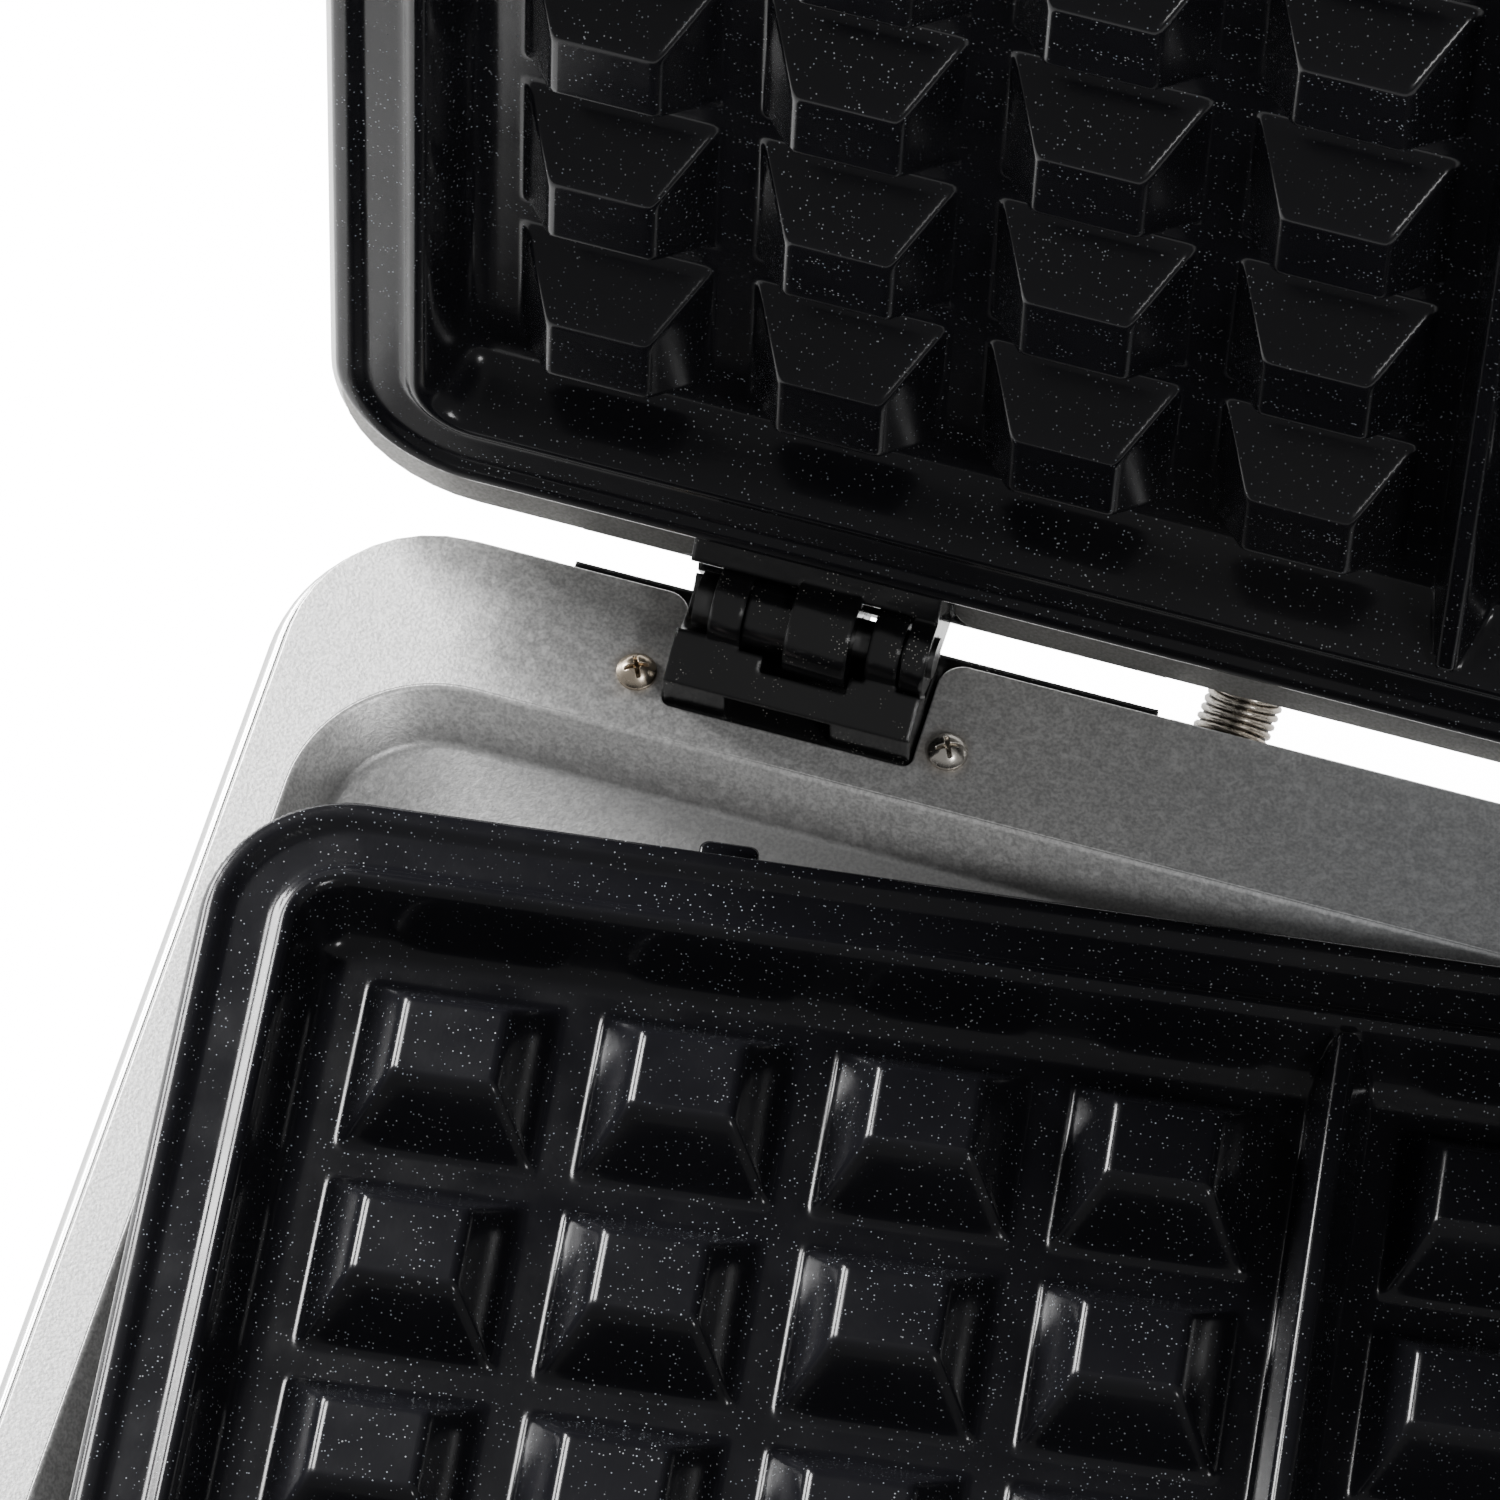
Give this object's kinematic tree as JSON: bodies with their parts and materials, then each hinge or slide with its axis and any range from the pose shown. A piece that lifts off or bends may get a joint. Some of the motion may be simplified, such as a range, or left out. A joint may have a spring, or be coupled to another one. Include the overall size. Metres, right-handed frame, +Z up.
{
  "type": "waffle maker",
  "caption": "Open hinged double waffle maker with studded non-stick plates, steel housings, coiled wire conduit at the hinge, thermostat knob, latch and one plate lying loose.",
  "frame": {"origin": "on the table under the middle of the base, half way between its pan's front and rear edges", "axes": "+X to the user's right, +Y to the rear where the hinges are, +Z up"},
  "size_m": [0.2947, 0.3272, 0.34],
  "materials": {
    "steel_shell": "polished steel sheet",
    "pan_sheet": "fine grain aluminised sheet",
    "coated_plate": "black non-stick coating with fine light speckle, on cast aluminium",
    "hinge_casting": "gloss black enamel",
    "pin_steel": "turned",
    "screw_nickel": "nickel plated",
    "handle_plastic": "moulded",
    "knob_plastic": "moulded",
    "bottom_sheet": "satin dark grey",
    "foot_rubber": "matt",
    "heater_sheath": "heat tinted sheath",
    "clip_sheet": "stamped",
    "ceramic": "unglazed ceramic",
    "wire_sleeve": "glass fibre sleeve",
    "outlet_plastic": "moulded",
    "conduit_nickel": "close wound nickel plated wire",
    "release_plastic": "moulded",
    "bezel_plastic": "moulded",
    "lamp_red": "clear red lens",
    "lamp_green": "clear green lens",
    "latch_steel": "stamped"
  },
  "bodies": {
    "base": {"base_shell": "steel_shell", "base_bottom": "bottom_sheet", "base_feet": "foot_rubber", "base_pan": "pan_sheet", "base_heater": "heater_sheath", "base_heater_clips": "clip_sheet", "base_terminals": "ceramic", "thermal_fuse": "ceramic", "base_wiring": "wire_sleeve", "thermostat_body": "ceramic", "base_hinge_left": "hinge_casting", "base_hinge_right": "hinge_casting", "hinge_pins": "pin_steel", "base_hinge_screws": "screw_nickel", "base_handle": "handle_plastic", "base_handle_screws": "screw_nickel", "cord_gland": "outlet_plastic", "base_conduit_grommet": "outlet_plastic", "conduit_spring": "conduit_nickel"},
    "lid": {"lid_shell": "steel_shell", "lid_pan": "pan_sheet", "upper_plate": "coated_plate", "lid_heater": "heater_sheath", "lid_heater_clips": "clip_sheet", "lid_terminals": "ceramic", "lid_hinge_left": "hinge_casting", "lid_hinge_right": "hinge_casting", "lid_hinge_screws": "screw_nickel", "lid_handle": "handle_plastic", "lid_handle_screws": "screw_nickel", "lid_conduit_grommet": "outlet_plastic", "lamp_bezel": "bezel_plastic", "lamp_power": "lamp_red", "lamp_ready": "lamp_green", "latch_pin": "pin_steel"},
    "lower_plate": {"lower_plate": "coated_plate"},
    "latch": {"latch": "latch_steel"},
    "thermostat_knob": {"thermostat_knob": "knob_plastic", "thermostat_shaft": "pin_steel"},
    "base_release": {"base_release": "release_plastic"},
    "lid_release": {"lid_release": "release_plastic"}
  },
  "joints": [
    {"name": "lid_hinge", "type": "hinge", "parent": "base", "child": "lid", "pos_m": [0, 0.1073, 0.0527], "axis": [1, 0, 0], "range_deg": [0, 96], "deforming": ["conduit_spring"]},
    {"name": "lower_plate_seat", "type": "hinge", "parent": "base", "child": "lower_plate", "pos_m": [0.0835, 0.0747, 0.0527], "axis": [0.359, 0, -0.9333], "range_deg": [0, 7.8]},
    {"name": "latch_swing", "type": "hinge", "parent": "lid", "child": "latch", "pos_m": [0, 0.1558, 0.31034], "axis": [1, 0, 0], "range_deg": [0, 25]},
    {"name": "knob_turn", "type": "hinge", "parent": "base", "child": "thermostat_knob", "pos_m": [0.078, -0.12, 0.024], "axis": [0, 1, 0], "range_deg": [0, 270]},
    {"name": "base_release_slide", "type": "slide", "parent": "base", "child": "base_release", "axis": [0, 1, 0], "range_m": [0, 0.004], "stiffness_N_per_m": 300},
    {"name": "lid_release_slide", "type": "slide", "parent": "lid", "child": "lid_release", "axis": [0, -0.1045, -0.9945], "range_m": [0, 0.004], "stiffness_N_per_m": 300}
  ],
  "couplings": [
    {"joint": "lower_plate_seat", "follows": "lid_hinge", "ratio": 0.08125}
  ]
}
